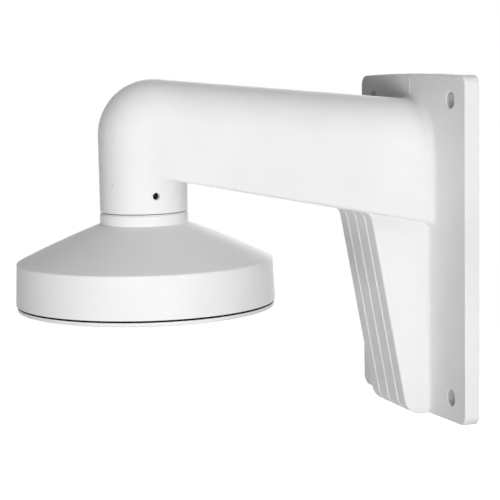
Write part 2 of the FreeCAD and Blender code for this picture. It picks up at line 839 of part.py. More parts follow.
disc_rim = round_edges(disc, disc_turn, is_disc_rim, v.disc_edge_round, "disc_rim")
pads_sketch = new_sketch(disc, "pads_sketch", "XY_Plane", (0, axis_y, gasket_bottom))
ring_of_circles(pads_sketch, boss_circle, v.boss_radius, v.boss_count, v.boss_start_angle)
pad(disc, pads_sketch, v.gasket_thickness, name="disc_pads")
screw_holes_sketch = new_sketch(disc, "screw_holes_sketch", "XY_Plane",
                                (0, axis_y, disc_bottom))
ring_of_circles(screw_holes_sketch, boss_circle, v.screw_radius + v.screw_clearance,
                v.boss_count, v.boss_start_angle)
pocket(disc, screw_holes_sketch, v.disc_thickness + v.gasket_thickness, back=True,
       name="screw_holes")
sinks_sketch = new_sketch(disc, "screw_sinks_sketch", "XY_Plane", (0, axis_y, disc_bottom))
ring_of_circles(sinks_sketch, boss_circle, v.screw_head_radius + v.screw_clearance,
                v.boss_count, v.boss_start_angle)
pocket(disc, sinks_sketch, v.screw_head_height, back=True, name="screw_sinks")
camera_sketch = new_sketch(disc, "camera_holes_sketch", "XY_Plane", (0, axis_y, disc_bottom))
ring_of_circles(camera_sketch, v.camera_circle_radius, v.camera_hole_radius,
                v.camera_hole_count, v.camera_start_angle)
pocket(disc, camera_sketch, v.disc_thickness, back=True, name="camera_holes")
doc.recompute()
print("disc", disc.Shape.isValid(), len(disc.Shape.Solids), round(disc.Shape.Volume))

# Three pan-head screws that hold the closing plate to the bosses
screw_forms = []
screw_top = disc_bottom + v.screw_head_height
for i in range(v_count(v.boss_count)):
    turn_by = v.boss_start_angle + i * 360 / v.boss_count
    spot_x = boss_circle * cosine(turn_by)
    spot_y = axis_y + boss_circle * sine(turn_by)
    head = cylinder("screw_head_%d" % (i + 1), spot_x, spot_y, disc_bottom,
                    v.screw_head_radius, v.screw_head_height)
    shank = cylinder("screw_shank_%d" % (i + 1), spot_x, spot_y, screw_top,
                     v.screw_radius, v.screw_length)
    socket = cylinder("screw_socket_%d" % (i + 1), spot_x, spot_y, disc_bottom,
                      v.screw_socket_radius, v.screw_socket_depth)
    screw = cut("screw_form_%d" % (i + 1), joined("screw_solid_%d" % (i + 1), [head, shank]),
                socket)
    screw_forms.append(screw)
screws = doc.addObject("Part::Compound", "closing_screws")
screws.Links = screw_forms

# Lock screw: a socket set screw that bears on the spigot through the neck
lock_body = cylinder("lock_screw_body", lock_seat, -v.arm_reach, v.lock_screw_level,
                     v.lock_screw_radius, v.lock_screw_length, "x")
lock_socket = cylinder("lock_screw_socket",
                       lock_seat + v.lock_screw_length - v.lock_socket_depth,
                       -v.arm_reach, v.lock_screw_level, v.lock_socket_radius,
                       v.lock_socket_depth, "x")
lock_screw = cut("lock_screw", lock_body, lock_socket)
doc.recompute()

NODES = {
    "bracket_casting": casting,
    "pendant_cap": cap_with_dimple,
    "neck_seal_ring": neck_ring,
    "cap_gasket": gasket,
    "closing_plate": disc,
    "closing_screws": screws,
    "lock_screw": lock_screw,
}

for item in doc.Objects:
    if "Invalid" in item.State or "Error" in item.State:
        raise RuntimeError("%s did not compute: %s" % (item.Name, item.State))
for node, item in NODES.items():
    item.Label = node
    shape = item.Shape
    if shape.isNull() or not shape.isValid() or not shape.Solids:
        raise RuntimeError("%s has no valid solid" % node)
for node, item in NODES.items():
    item.Shape.exportStep("parts/%s.step" % node)
    box_ = item.Shape.optimalBoundingBox()
    print("%-16s solids %d volume %9.1f  x %7.2f %7.2f  y %7.2f %7.2f  z %7.2f %7.2f" % (
        node, len(item.Shape.Solids), item.Shape.Volume,
        box_.XMin, box_.XMax, box_.YMin, box_.YMax, box_.ZMin, box_.ZMax))
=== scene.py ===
import json
import math

import bpy
import numpy as np
from mathutils import Matrix, Vector


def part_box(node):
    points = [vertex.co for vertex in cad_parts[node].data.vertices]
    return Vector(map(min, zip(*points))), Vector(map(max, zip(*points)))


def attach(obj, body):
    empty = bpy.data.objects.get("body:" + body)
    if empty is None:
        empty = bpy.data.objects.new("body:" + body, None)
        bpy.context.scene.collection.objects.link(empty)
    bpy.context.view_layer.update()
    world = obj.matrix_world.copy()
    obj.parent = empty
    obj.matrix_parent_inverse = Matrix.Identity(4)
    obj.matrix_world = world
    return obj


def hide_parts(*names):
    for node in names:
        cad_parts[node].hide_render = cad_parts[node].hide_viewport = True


bl_info = {
    "name": "Pendant camera wall bracket",
    "version": (1, 0, 0),
    "blender": (4, 5, 0),
    "location": "View3D > Sidebar > Wall bracket",
    "description": "Dresses the wall bracket's solids: powder coat, seals, screws and stage",
    "category": "Object",
}

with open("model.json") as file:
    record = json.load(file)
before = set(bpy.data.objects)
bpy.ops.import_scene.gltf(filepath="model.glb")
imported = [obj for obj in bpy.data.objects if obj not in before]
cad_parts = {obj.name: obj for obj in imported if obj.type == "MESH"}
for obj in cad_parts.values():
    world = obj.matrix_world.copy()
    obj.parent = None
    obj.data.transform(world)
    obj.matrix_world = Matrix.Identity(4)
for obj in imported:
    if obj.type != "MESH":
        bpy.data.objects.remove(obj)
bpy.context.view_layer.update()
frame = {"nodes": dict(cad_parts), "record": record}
NODES = frame["nodes"]

# Places that come from the solids
SCREWS_LOW, SCREWS_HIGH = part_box("closing_screws")
LOCK_LOW, LOCK_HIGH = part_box("lock_screw")
RING_LOW, RING_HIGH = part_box("neck_seal_ring")
CAP_LOW, CAP_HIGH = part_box("pendant_cap")
CAP_AXIS_Y = (CAP_LOW.y + CAP_HIGH.y) / 2

MM = 0.001
SMOOTH_ANGLE = math.radians(35)

# Powder coat, in metres: widths of its clouds, of the cells that hold a speck each and of the
# blotches that choose some of them, and the soft edge outside a wall hole's radius
CLOUD_WIDTH = 0.045
CELL_WIDTH = 0.012
CHOICE_WIDTH = 0.02
HOLE_EDGE = (0.00005, 0.00025)

# Ring between neck and collar: how much wider than high it is squeezed
RING_SQUASH = 1.06

# Closing screws, in metres: depth of the thread, length over which it sets in, blunt end,
# slope of the cross recess and of its ends. The dome takes DOME_SHARE of the head's height.
SCREW_COUNT = 3
THREAD_DEPTH = 0.00038
THREAD_START = 0.0006
BLUNT_END = 0.0004
RECESS_SLOPE = 0.0002
RECESS_END = 0.0005
DOME_SHARE = 0.55

# Lock screw, in metres: pitch and depth of the thread, where it starts and ends from either
# end, and the chamfer at the socket
LOCK_PITCH = 0.0006
LOCK_THREAD_DEPTH = 0.0003
LOCK_THREAD_ENDS = (0.0004, 0.0003)
LOCK_CHAMFER = 0.0005
# Depths from the end in metres, each with its share of the radius: the cupped point and the
# hexagon socket
CUP_POINT = ((0.0005, 0.15), (0.0002, 0.5), (0.0, 0.7))
SOCKET = ((0.0, 1.12), (0.00015, 1.0), (0.0018, 1.0), (0.0021, 0.3))

# Stage, in metres: half the floor's side, its points on a side, the distances between which
# its lift rises, the point that the lamps face, and in millimetres the camera's sensor
FLOOR_HALF = 8
FLOOR_POINTS = 17
LIFT_DISTANCES = (0.4, 0.95)
LAMP_AIM = Vector((0, -0.11, 0.02))
SENSOR_WIDTH = 36.0


class BracketPaintSettings(bpy.types.PropertyGroup):
    paint: bpy.props.FloatVectorProperty(
        name="Powder coat", description="Colour of the satin white powder coat",
        subtype="COLOR", size=3, min=0, max=1, default=(0.86, 0.86, 0.86))
    paint_shade: bpy.props.FloatVectorProperty(
        name="Thin coat", description="Slightly duller colour where the coat came out thin",
        subtype="COLOR", size=3, min=0, max=1, default=(0.82, 0.82, 0.82))
    mark: bpy.props.FloatVectorProperty(
        name="Blemish", description="Colour of the small specks in the coat",
        subtype="COLOR", size=3, min=0, max=1, default=(0.50, 0.50, 0.49))
    peel_size: bpy.props.FloatProperty(
        name="Orange peel size", description="Width of one ripple of the coat",
        unit="LENGTH", default=0.0016)
    peel_depth: bpy.props.FloatProperty(
        name="Orange peel depth", description="Height of the ripples of the coat",
        unit="LENGTH", default=0.00003)
    grain_size: bpy.props.FloatProperty(
        name="Grain size", description="Width of the fine grain of the coat",
        unit="LENGTH", default=0.0004)
    roughness_low: bpy.props.FloatProperty(
        name="Lowest roughness", description="Roughness where the coat is smoothest",
        min=0, max=1, default=0.36)
    roughness_high: bpy.props.FloatProperty(
        name="Highest roughness", description="Roughness where the coat is dullest",
        min=0, max=1, default=0.48)
    speck_place: bpy.props.FloatVectorProperty(
        name="Speck on the neck", description="Place of the one speck that stands out",
        subtype="XYZ", unit="LENGTH", size=3, default=(0.01186, -0.18840, 0.04143))
    speck_radius: bpy.props.FloatProperty(
        name="Speck radius", description="Radius of the speck on the neck",
        unit="LENGTH", default=0.0013)
    # Grey inside the wall holes, darker than the coat
    hole_grey: bpy.props.FloatVectorProperty(
        name="Bare metal", description="Colour of the drilled metal inside the wall holes",
        subtype="COLOR", size=3, min=0, max=1, default=(0.66, 0.66, 0.66))


class BracketSealSettings(bpy.types.PropertyGroup):
    rubber: bpy.props.FloatVectorProperty(
        name="Rubber", description="Colour of the seals",
        subtype="COLOR", size=3, min=0, max=1, default=(0.008, 0.008, 0.008))
    bloom: bpy.props.FloatVectorProperty(
        name="Rubber bloom", description="Greyer colour of the bloom on the seals",
        subtype="COLOR", size=3, min=0, max=1, default=(0.020, 0.020, 0.019))
    roundness: bpy.props.FloatProperty(
        name="Squeezed roundness", description="Power of the ring's section: 2 is a circle",
        min=2, max=8, default=2.6)


class BracketScrewSettings(bpy.types.PropertyGroup):
    steel: bpy.props.FloatVectorProperty(
        name="Zinc", description="Colour of the zinc-plated closing screws",
        subtype="COLOR", size=3, min=0, max=1, default=(0.62, 0.62, 0.63))
    black: bpy.props.FloatVectorProperty(
        name="Black oxide", description="Colour of the blackened lock screw",
        subtype="COLOR", size=3, min=0, max=1, default=(0.030, 0.030, 0.032))
    ring_inset: bpy.props.FloatProperty(
        name="Screw ring inset", description="From the cap's rim to the closing screws' ring",
        unit="LENGTH", default=0.013)
    start_angle: bpy.props.FloatProperty(
        name="First screw", description="Angle of the first closing screw about the cap's axis",
        subtype="ANGLE", default=math.radians(30))
    head_height: bpy.props.FloatProperty(
        name="Head height", description="Height of a closing screw's head",
        unit="LENGTH", default=0.0019)
    head_radius: bpy.props.FloatProperty(
        name="Head radius", description="Radius of a closing screw's head",
        unit="LENGTH", default=0.0037)
    shank_radius: bpy.props.FloatProperty(
        name="Shank radius", description="Radius over the thread of a closing screw",
        unit="LENGTH", default=0.0019)
    pitch: bpy.props.FloatProperty(
        name="Thread pitch", description="Pitch of the closing screws' thread",
        unit="LENGTH", default=0.0007)
    cross_width: bpy.props.FloatProperty(
        name="Cross width", description="Width of a wing of the cross recess",
        unit="LENGTH", default=0.0009)
    cross_reach: bpy.props.FloatProperty(
        name="Cross reach", description="From the middle of the head to the end of a wing",
        unit="LENGTH", default=0.0022)
    cross_depth: bpy.props.FloatProperty(
        name="Cross depth", description="Depth of the cross recess",
        unit="LENGTH", default=0.0012)
    hex_width: bpy.props.FloatProperty(
        name="Hexagon", description="Width across the flats of the lock screw's socket",
        unit="LENGTH", default=0.0020)


class BracketStageSettings(bpy.types.PropertyGroup):
    camera_place: bpy.props.FloatVectorProperty(
        name="Camera place", description="Where the camera stands",
        subtype="XYZ", unit="LENGTH", size=3, default=(0.77449, -0.39578, 0.10147))
    camera_turn: bpy.props.FloatProperty(
        name="Camera turn", description="Turn of the camera's line about the vertical, from +Y",
        subtype="ANGLE", default=math.radians(69.588))
    camera_drop: bpy.props.FloatProperty(
        name="Camera drop", description="How far the camera looks down",
        subtype="ANGLE", default=math.radians(6.924))
    camera_roll: bpy.props.FloatProperty(
        name="Camera roll", description="Roll of the camera about its line",
        subtype="ANGLE", default=math.radians(1.096))
    lens: bpy.props.FloatProperty(
        name="Lens", description="Focal length on a 36 mm sensor, in millimetres", default=108.0)
    floor_level: bpy.props.FloatProperty(
        name="Floor level", description="Height of the floor, well below the bracket",
        unit="LENGTH", default=-0.42)
    floor_colour: bpy.props.FloatVectorProperty(
        name="Floor", description="Colour of the plain floor",
        subtype="COLOR", size=3, min=0, max=1, default=(0.50, 0.50, 0.50))
    floor_lift_near: bpy.props.FloatProperty(
        name="Floor lift near", description="What is seen on top of the lit floor by the foot",
        default=0.72)
    floor_lift_far: bpy.props.FloatProperty(
        name="Floor lift far", description="What is seen on top of the lit floor far away",
        default=0.95)
    key_power: bpy.props.FloatProperty(
        name="Key lamp", description="Power of the wide low lamp by the camera, in watts",
        default=17.4)
    key_tint: bpy.props.FloatVectorProperty(
        name="Key lamp tint", description="Slightly cool colour of the wide lamp",
        subtype="COLOR", size=3, min=0, max=1, default=(0.985, 0.985, 1.0))
    key_width: bpy.props.FloatProperty(
        name="Key lamp width", description="Width of the wide lamp", unit="LENGTH", default=2.4)
    key_height: bpy.props.FloatProperty(
        name="Key lamp height", description="Height of the wide lamp", unit="LENGTH",
        default=0.4)
    key_distance: bpy.props.FloatProperty(
        name="Key lamp distance", description="From the bracket to the wide lamp",
        unit="LENGTH", default=1.3)
    key_rise: bpy.props.FloatProperty(
        name="Key lamp rise", description="Height angle of the wide lamp",
        subtype="ANGLE", default=math.radians(-8))
    key_turn: bpy.props.FloatProperty(
        name="Key lamp turn", description="Turn of the wide lamp's place, from -Y",
        subtype="ANGLE", default=math.radians(64))
    top_power: bpy.props.FloatProperty(
        name="Top lamp", description="Power of the square lamp above the camera, in watts",
        default=10.1)
    top_tint: bpy.props.FloatVectorProperty(
        name="Top lamp tint", description="Colour of the square lamp",
        subtype="COLOR", size=3, min=0, max=1, default=(1.0, 0.985, 1.0))
    top_size: bpy.props.FloatProperty(
        name="Top lamp size", description="Side of the square lamp", unit="LENGTH", default=1.2)
    top_distance: bpy.props.FloatProperty(
        name="Top lamp distance", description="From the bracket to the square lamp",
        unit="LENGTH", default=1.6)
    top_rise: bpy.props.FloatProperty(
        name="Top lamp rise", description="Height angle of the square lamp",
        subtype="ANGLE", default=math.radians(50))
    top_turn: bpy.props.FloatProperty(
        name="Top lamp turn", description="Turn of the square lamp's place, from -Y",
        subtype="ANGLE", default=math.radians(105))
    back_power: bpy.props.FloatProperty(
        name="Back lamp", description="Power of the square lamp opposite the camera, in watts",
        default=10.0)
    back_turn: bpy.props.FloatProperty(
        name="Back lamp turn", description="Turn of the back lamp's place, from -Y",
        subtype="ANGLE", default=math.radians(243))
    back_rise: bpy.props.FloatProperty(
        name="Back lamp rise", description="Height angle of the back lamp",
        subtype="ANGLE", default=math.radians(8))
    room_side: bpy.props.FloatVectorProperty(
        name="Lighter side", description="Direction of the lighter side of the room",
        subtype="DIRECTION", size=3, default=(-0.45, 0.82, -0.35))
    room_light: bpy.props.FloatProperty(
        name="Lighter side level", description="Level of the room's light on its lighter side",
        default=0.40)
    room_tint: bpy.props.FloatVectorProperty(
        name="Room tint", description="Slightly warm colour of the light from the room",
        subtype="COLOR", size=3, min=0, max=1, default=(1.0, 1.0, 0.945))
    room_dim: bpy.props.FloatProperty(
        name="Dim side level", description="Level of the room's light elsewhere and overhead",
        default=0.05)


def settings(name):
    return getattr(bpy.context.scene, "bracket_" + name)


# A closed surface from rings, as corner places, four-cornered faces and three-cornered faces.
# points has the shape (rows, columns, 3): each row is one ring round the piece, and the first
# and last rings are drawn together into a pole. A tube that closes on itself joins its last
# ring to its first instead. Faces turn outwards when the volume, the sum of a . (b x c) over
# the triangles, comes out above zero.
def ring_surface(points, closed=False):
    rows, columns = points.shape[:2]
    index = np.arange(rows * columns).reshape(rows, columns)
    right = np.roll(index, -1, axis=1)
    corners = points.reshape(-1, 3)
    if closed:
        below, below_right = np.roll(index, -1, axis=0), np.roll(right, -1, axis=0)
        quads = np.stack([index, right, below_right, below], axis=-1).reshape(-1, 4)
        fans = np.zeros((0, 3), dtype=int)
    else:
        quads = np.stack([index[:-1], right[:-1], right[1:], index[1:]], axis=-1).reshape(-1, 4)
        corners = np.vstack([corners, points[0].mean(axis=0), points[-1].mean(axis=0)])
        pole = np.full(columns, rows * columns)
        fans = np.vstack([np.stack([pole, right[0], index[0]], axis=-1),
                          np.stack([pole + 1, index[-1], right[-1]], axis=-1)])
    halves = np.vstack([quads[:, [0, 1, 2]], quads[:, [0, 2, 3]], fans])
    a, b, c = corners[halves[:, 0]], corners[halves[:, 1]], corners[halves[:, 2]]
    if np.einsum("ij,ij->i", a, np.cross(b, c)).sum() < 0:
        quads, fans = quads[:, ::-1], fans[:, ::-1]
    return corners, quads, fans


# Puts closed surfaces into one object at the origin, which rides on the root body
def new_piece(name, surfaces, material, slot, *nodes):
    sizes = np.array([len(corners) for corners, _, _ in surfaces])
    starts = np.cumsum(sizes) - sizes
    corners = np.vstack([surface[0] for surface in surfaces])
    quads = np.vstack([surface[1] + start for surface, start in zip(surfaces, starts)])
    fans = np.vstack([surface[2] + start for surface, start in zip(surfaces, starts)])
    mesh = bpy.data.meshes.new(name)
    mesh.from_pydata(corners.tolist(), [], quads.tolist() + fans.tolist())
    mesh.update()
    mesh.materials.append(material)
    piece = bpy.data.objects.new(name, mesh)
    bpy.context.scene.collection.objects.link(piece)
    bpy.context.view_layer.objects.active = piece
    piece.select_set(True)
    bpy.ops.object.shade_smooth_by_angle(angle=SMOOTH_ANGLE)
    piece.select_set(False)
    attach(piece, "root")
    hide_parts(*nodes)
    return piece


# Gives a function that adds nodes to a tree: inputs are values, or (node, output name)
# pairs to link, and options are the node's own choices
def node_adder(tree):
    def add(kind, inputs=(), **options):
        node = tree.nodes.new("ShaderNode" + kind)
        for option, value in options.items():
            setattr(node, option, value)
        for socket, value in dict(inputs).items():
            if isinstance(value, tuple) and isinstance(value[0], bpy.types.Node):
                tree.links.new(value[0].outputs[value[1]], node.inputs[socket])
            else:
                node.inputs[socket].default_value = value
        return node

    return add


# Node material with a Principled shader. Returns the material, a function that adds nodes,
# and one that feeds a node's output into a socket of the shader
def new_material(name, **shader_values):
    material = bpy.data.materials.new(name)
    material.use_nodes = True
    tree = material.node_tree
    shader = tree.nodes["Principled BSDF"]
    for socket, value in shader_values.items():
        shader.inputs[socket.replace("_", " ")].default_value = value

    def feed(socket, node, output):
        tree.links.new(node.outputs[output], shader.inputs[socket])

    return material, node_adder(tree), feed


# Noise on object coordinates: the size is the width of one blotch in metres
def noise(add, place, width, detail=2.0, roughness=0.5):
    return add("TexNoise", {"Vector": (place, "Object"), "Scale": 1 / width,
                            "Detail": detail, "Roughness": roughness})


def ramp(add, source, output, low, high, start=0.0, end=1.0):
    return add("MapRange", {"Value": (source, output), "From Min": low, "From Max": high,
                            "To Min": start, "To Max": end})


def mix(add, factor, first, second):
    node = add("Mix", data_type="RGBA")
    tree = node.id_data
    tree.links.new(factor[0].outputs[factor[1]], node.inputs[0])
    for socket, value in ((6, first), (7, second)):
        if isinstance(value, tuple) and isinstance(value[0], bpy.types.Node):
            tree.links.new(value[0].outputs[value[1]], node.inputs[socket])
        else:
            node.inputs[socket].default_value = (*value[:3], 1.0)
    return node


# 1 inside the wall holes and 0 outside, from the distance to the nearest hole's axis: the
# four axes fold onto one when x and z lose their signs
def in_wall_holes(add, place):
    bolts = next(m for m in frame["record"]["mounts"] if m["name"] == "wall_bolts")
    sizes = bolts["dims"]
    axis = (MM * sizes["spacing_x_mm"] / 2, 0.0, MM * sizes["spacing_y_mm"] / 2)
    start, end = (MM * sizes["hole_r_mm"] + edge for edge in HOLE_EDGE)
    folded = add("VectorMath", {0: (place, "Object")}, operation="ABSOLUTE")
    flat = add("VectorMath", {0: (folded, "Vector"), 1: (1.0, 0.0, 1.0)}, operation="MULTIPLY")
    apart = add("VectorMath", {0: (flat, "Vector"), 1: axis}, operation="DISTANCE")
    return ramp(add, apart, "Value", start, end, 1.0, 0.0)


# Powder coat: wide soft clouds of a duller white, orange peel and fine grain as bump, and
# rare specks. casting says that the speck on the neck and the darker grey inside the wall
# holes are drawn too.
def powder_coat(name, casting):
    paint = settings("paint")
    material, add, feed = new_material(name, Specular_IOR_Level=0.08)
    place = add("TexCoord")
    clouds = noise(add, place, CLOUD_WIDTH, 3.0)
    thin = ramp(add, clouds, "Fac", 0.42, 0.72)
    colour = mix(add, (thin, "Result"), paint.paint, paint.paint_shade)
    cells = add("TexVoronoi", {"Vector": (place, "Object"), "Scale": 1 / CELL_WIDTH})
    rare = noise(add, place, CHOICE_WIDTH, 1.0)
    dots = ramp(add, cells, "Distance", 0.016, 0.028, 1.0, 0.0)
    chosen = ramp(add, rare, "Fac", 0.62, 0.68)
    both = add("Math", {0: (dots, "Result"), 1: (chosen, "Result")}, operation="MULTIPLY")
    faint = add("Math", {0: (both, "Value"), 1: 0.35}, operation="MULTIPLY")
    colour = mix(add, (faint, "Value"), (colour, 2), paint.mark)
    if casting:
        apart = add("VectorMath", {0: (place, "Object"), 1: tuple(paint.speck_place)},
                    operation="DISTANCE")
        near = ramp(add, apart, "Value", 0.2 * paint.speck_radius, paint.speck_radius, 0.4, 0.0)
        colour = mix(add, (near, "Result"), (colour, 2), paint.mark)
        # Inside the wall holes the coat's colour gives way to a grey, darker than the coat,
        # mottled by fine noise
        turned = noise(add, place, 0.0008, 3.0)
        metal = mix(add, (turned, "Fac"), tuple(0.8 * c for c in paint.hole_grey),
                    paint.hole_grey)
        colour = mix(add, (in_wall_holes(add, place), "Result"), (colour, 2), (metal, 2))
    feed("Base Color", colour, 2)
    peel = noise(add, place, paint.peel_size, 2.0)
    grain = noise(add, place, paint.grain_size, 2.0, 0.6)
    dull = ramp(add, peel, "Fac", 0.3, 0.7, paint.roughness_low, paint.roughness_high)
    feed("Roughness", dull, "Result")
    fine = add("Bump", {"Height": (grain, "Fac"), "Distance": paint.peel_depth / 3,
                        "Strength": 0.5})
    wide = add("Bump", {"Height": (peel, "Fac"), "Distance": paint.peel_depth,
                        "Strength": 0.6, "Normal": (fine, "Normal")})
    feed("Normal", wide, "Normal")
    return material


# Rubber: near black with a greyer bloom in blotches, and a fine matte grain
def seal_rubber(name):
    seals = settings("seals")
    material, add, feed = new_material(name, Specular_IOR_Level=0.1)
    place = add("TexCoord")
    blotches = noise(add, place, 0.006, 4.0, 0.6)
    bloom = ramp(add, blotches, "Fac", 0.45, 0.75)
    feed("Base Color", mix(add, (bloom, "Result"), seals.rubber, seals.bloom), 2)
    feed("Roughness", ramp(add, blotches, "Fac", 0.3, 0.7, 0.62, 0.8), "Result")
    grain = noise(add, place, 0.0003, 2.0)
    feed("Normal", add("Bump", {"Height": (grain, "Fac"), "Distance": 0.00002}), "Normal")
    return material


# Plated steel: drawn grain along one axis, with small dull patches
def plated_steel(name, colour, stretch, rough):
    material, add, feed = new_material(name, Metallic=1.0)
    place = add("TexCoord")
    drawn = add("Mapping", {"Vector": (place, "Object"), "Scale": stretch})
    lines = add("TexNoise", {"Vector": (drawn, "Vector"), "Scale": 1.0, "Detail": 3.0})
    patches = noise(add, place, 0.0015, 3.0)
    worn = ramp(add, patches, "Fac", 0.4, 0.7)
    dark = tuple(0.72 * c for c in colour)
    feed("Base Color", mix(add, (worn, "Result"), colour, dark), 2)
    feed("Roughness", ramp(add, lines, "Fac", 0.25, 0.75, rough, rough + 0.16), "Result")
    feed("Normal", add("Bump", {"Height": (lines, "Fac"), "Distance": 0.00001}), "Normal")
    return material


def repaint(node, material):
    for slot in NODES[node].material_slots:
        slot.material = material


class BRACKET_OT_casting(bpy.types.Operator):
    """Gives the cast plate, arm, neck and gusset their powder coat"""
    bl_idname = "bracket.casting"
    bl_label = "Casting"

    def execute(self, context):
        repaint("bracket_casting", powder_coat("casting_powder_coat", True))
        return {"FINISHED"}


class BRACKET_OT_cap(bpy.types.Operator):
    """Gives the pendant cap and its closing plate their powder coat"""
    bl_idname = "bracket.cap"
    bl_label = "Pendant cap and closing plate"

    def execute(self, context):
        repaint("pendant_cap", powder_coat("cap_powder_coat", False))
        repaint("closing_plate", powder_coat("plate_powder_coat", False))
        return {"FINISHED"}


class BRACKET_OT_seals(bpy.types.Operator):
    """Makes the squeezed ring between neck and cap, and gives the gasket its rubber.
    The ring's section is a superellipse: (|x| / a) to the power n plus (|z| / b) to the power
    n is 1, turned once about the cap's axis"""
    bl_idname = "bracket.seals"
    bl_label = "Seals"

    def execute(self, context):
        seals = settings("seals")
        rubber = seal_rubber("seal_rubber")
        repaint("cap_gasket", rubber)
        outer = (RING_HIGH.x - RING_LOW.x) / 2
        half_height = (RING_HIGH.z - RING_LOW.z) / 2
        half_width = half_height * RING_SQUASH
        middle = (RING_HIGH.z + RING_LOW.z) / 2
        t = np.linspace(0, 2 * math.pi, 28, endpoint=False)[:, None]
        u = np.linspace(0, 2 * math.pi, 160, endpoint=False)[None, :]
        power = 2 / seals.roundness
        across = half_width * np.sign(np.cos(t)) * np.abs(np.cos(t)) ** power
        rise = half_height * np.sign(np.sin(t)) * np.abs(np.sin(t)) ** power
        radius = outer - half_width + across + 0 * u
        points = np.stack([radius * np.cos(u), CAP_AXIS_Y + radius * np.sin(u),
                           middle + rise + 0 * u], axis=-1)
        ring = ring_surface(points, closed=True)
        new_piece("neck_ring", [ring], rubber, "seal_rubber", "neck_seal_ring")
        return {"FINISHED"}


class BRACKET_OT_closing_screws(bpy.types.Operator):
    """Makes the three pan-head screws of the closing plate. A head is a profile turned about
    its axis and pressed in by a cross recess, whose depth falls off smoothly with the
    distance from the nearer wing. The thread is a helix: the radius swings between crest and
    root with the height less the pitch times the turn"""
    bl_idname = "bracket.closing_screws"
    bl_label = "Closing screws"

    def execute(self, context):
        screws = settings("screws")
        steel = plated_steel("zinc_plate", tuple(screws.steel), (900.0, 900.0, 120.0), 0.28)
        ring = (CAP_HIGH.x - CAP_LOW.x) / 2 - screws.ring_inset
        low, top = SCREWS_LOW.z, SCREWS_HIGH.z
        surfaces = []
        for i in range(SCREW_COUNT):
            turn = screws.start_angle + i * 2 * math.pi / SCREW_COUNT
            x, y = ring * math.cos(turn), CAP_AXIS_Y + ring * math.sin(turn)
            surfaces.append(self.screw(screws, x, y, low, top, turn))
        new_piece("plate_screws", surfaces, steel, "screw_steel", "closing_screws")
        return {"FINISHED"}

    def screw(self, s, x, y, low, top, turn):
        u = np.linspace(0, 2 * math.pi, 64, endpoint=False)[None, :]
        # face of the head, from the middle out, domed and pressed in by the cross
        r = s.head_radius * np.linspace(0.02, 1, 40)[:, None]
        wing = np.minimum(np.abs(r * np.sin(u)), np.abs(r * np.cos(u)))
        inside = (s.cross_width / 2 + RECESS_SLOPE / 2 - wing) / RECESS_SLOPE
        inside = np.clip(inside, 0, 1)
        reach = np.clip((s.cross_reach - r) / RECESS_END, 0, 1)
        dome = s.head_height * DOME_SHARE * (r / s.head_radius) ** 4
        face = low + dome + s.cross_depth * inside * reach
        face_r = r + 0 * u
        # rounded edge, underside of the head, and the threaded shank up to its blunt end
        t = np.linspace(0, 1, 6)[1:, None]
        edge_r = s.head_radius + 0 * t * u
        edge_z = low + s.head_height * (DOME_SHARE + (1 - DOME_SHARE) * t) + 0 * u
        under_r = np.linspace(s.head_radius, s.shank_radius, 4)[1:, None] + 0 * u
        under_z = low + s.head_height + 0 * under_r
        z = np.linspace(low + s.head_height, top - BLUNT_END, 110)[1:, None]
        wave = np.abs(2 * ((z / s.pitch - u / (2 * math.pi)) % 1) - 1)
        fade = np.clip((z - low - s.head_height) / THREAD_START, 0, 1)
        shank_r = s.shank_radius - THREAD_DEPTH * wave * fade
        shank_z = z + 0 * u
        tip_r = shank_r[-1:] * np.linspace(1, 0.1, 4)[1:, None]
        tip_z = top - BLUNT_END * np.linspace(1, 0, 4)[1:, None] + 0 * u
        radius = np.vstack([face_r, edge_r, under_r, shank_r, tip_r])
        level = np.vstack([face, edge_z, under_z, shank_z, tip_z])
        swing = u + turn + 0 * radius
        points = np.stack([x + radius * np.cos(swing), y + radius * np.sin(swing), level],
                          axis=-1)
        return ring_surface(points)


class BRACKET_OT_lock_screw(bpy.types.Operator):
    """Makes the lock screw in the side of the neck: a threaded rod along X with a cupped
    point, a chamfer and a hexagon socket. The thread is a helix like the closing screws'.
    The socket's radius at the turn u is the half width across the flats divided by the
    cosine of u's distance from the nearest flat's middle"""
    bl_idname = "bracket.lock_screw"
    bl_label = "Lock screw"

    def execute(self, context):
        screws = settings("screws")
        black = plated_steel("black_oxide", tuple(screws.black), (120.0, 900.0, 900.0), 0.42)
        y = (LOCK_LOW.y + LOCK_HIGH.y) / 2
        z = (LOCK_LOW.z + LOCK_HIGH.z) / 2
        body = (LOCK_HIGH.z - LOCK_LOW.z) / 2
        near, far = LOCK_LOW.x, LOCK_HIGH.x
        u = np.linspace(0, 2 * math.pi, 72, endpoint=False)[None, :]
        flat = (u + math.pi / 6) % (math.pi / 3) - math.pi / 6
        hexagon = screws.hex_width / 2 / np.cos(flat)
        first, last = LOCK_THREAD_ENDS
        along = np.linspace(near + first, far - last, 60)[:, None]
        wave = np.abs(2 * ((along / LOCK_PITCH - u / (2 * math.pi)) % 1) - 1)
        point, socket = np.array(CUP_POINT), np.array(SOCKET)
        radius = np.vstack([
            body * point[:, 1:] + 0 * u,
            body - LOCK_THREAD_DEPTH * wave,
            body - LOCK_CHAMFER + 0 * u,
            hexagon * socket[:, 1:],
        ])
        place = np.vstack([near + point[:, :1], along, [[far]], far - socket[:, :1]]) + 0 * u
        points = np.stack([place, y + radius * np.cos(u), z + radius * np.sin(u)], axis=-1)
        rod = ring_surface(points)
        new_piece("lock_set_screw", [rod], black, "black_steel", "lock_screw")
        return {"FINISHED"}


